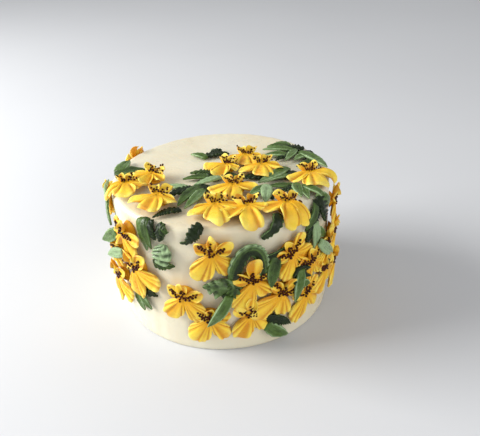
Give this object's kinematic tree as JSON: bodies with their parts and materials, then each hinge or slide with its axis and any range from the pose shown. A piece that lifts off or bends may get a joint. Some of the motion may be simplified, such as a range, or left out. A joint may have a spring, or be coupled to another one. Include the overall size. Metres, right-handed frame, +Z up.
{
  "type": "celebration cake",
  "caption": "Round one-tier celebration cake iced in smooth ivory buttercream, with piped yellow pansy-like flowers and green leaves over its top and down its side.",
  "frame": {"origin": "middle of the cake's flat round underside, where it rests", "axes": "+Z up through the middle of the cake, -Y towards the pictured front, +X to its right"},
  "size_m": [0.1747, 0.1659, 0.1085],
  "materials": {
    "ivory_buttercream": "smooth soft buttercream, slightly waxy",
    "yellow_buttercream": "piped buttercream with fine ridges, soft sheen",
    "green_buttercream": "piped buttercream, light and dark greens, soft sheen"
  },
  "bodies": {
    "root": {"iced_cake": "ivory_buttercream", "leaves_top_back": "green_buttercream", "leaves_top_right_a": "green_buttercream", "leaves_top_right_b": "green_buttercream", "leaves_top_left": "green_buttercream", "leaves_top_right_c": "green_buttercream", "leaves_top_right_d": "green_buttercream", "leaves_top_left_front": "green_buttercream", "leaves_top_left_rim": "green_buttercream", "leaves_back_left": "green_buttercream", "leaves_front_rim_a": "green_buttercream", "leaves_front_rim_b": "green_buttercream", "leaves_right_rim": "green_buttercream", "leaves_left_a": "green_buttercream", "leaves_left_b": "green_buttercream", "leaves_left_c": "green_buttercream", "leaves_left_d": "green_buttercream", "leaves_front_low": "green_buttercream", "leaves_back_a": "green_buttercream", "leaves_back_b": "green_buttercream", "flower_top_back": "yellow_buttercream", "flower_top_middle_left": "yellow_buttercream", "flower_top_middle_right": "yellow_buttercream", "flower_top_right": "yellow_buttercream", "flower_top_centre": "yellow_buttercream", "flower_top_front_right": "yellow_buttercream", "flower_top_front_left": "yellow_buttercream", "flower_top_front": "yellow_buttercream", "flower_top_left_rim": "yellow_buttercream", "flower_top_left_back": "yellow_buttercream", "flower_top_left": "yellow_buttercream", "flower_left_rim": "yellow_buttercream", "flower_left_back": "yellow_buttercream", "flower_left_c": "yellow_buttercream", "flower_left_d": "yellow_buttercream", "flower_left_b": "yellow_buttercream", "flower_left_a": "yellow_buttercream", "flower_front_c": "yellow_buttercream", "flower_front_b": "yellow_buttercream", "flower_front_a": "yellow_buttercream", "flower_front_d": "yellow_buttercream", "flower_front_e": "yellow_buttercream", "flower_right_c": "yellow_buttercream", "flower_right_b": "yellow_buttercream", "flower_right_e": "yellow_buttercream", "flower_right_h": "yellow_buttercream", "flower_right_d": "yellow_buttercream", "flower_right_a": "yellow_buttercream", "flower_right_g": "yellow_buttercream", "flower_right_f": "yellow_buttercream", "flower_right_rim": "yellow_buttercream", "flowers_back_left": "yellow_buttercream", "flowers_back_right": "yellow_buttercream", "leaves_left_rim": "green_buttercream", "leaves_left_e": "green_buttercream", "leaves_left_f": "green_buttercream", "leaves_front_arch": "green_buttercream", "leaves_top_middle": "green_buttercream", "leaves_right_fan": "green_buttercream", "leaves_front_middle": "green_buttercream"}
  },
  "joints": []
}
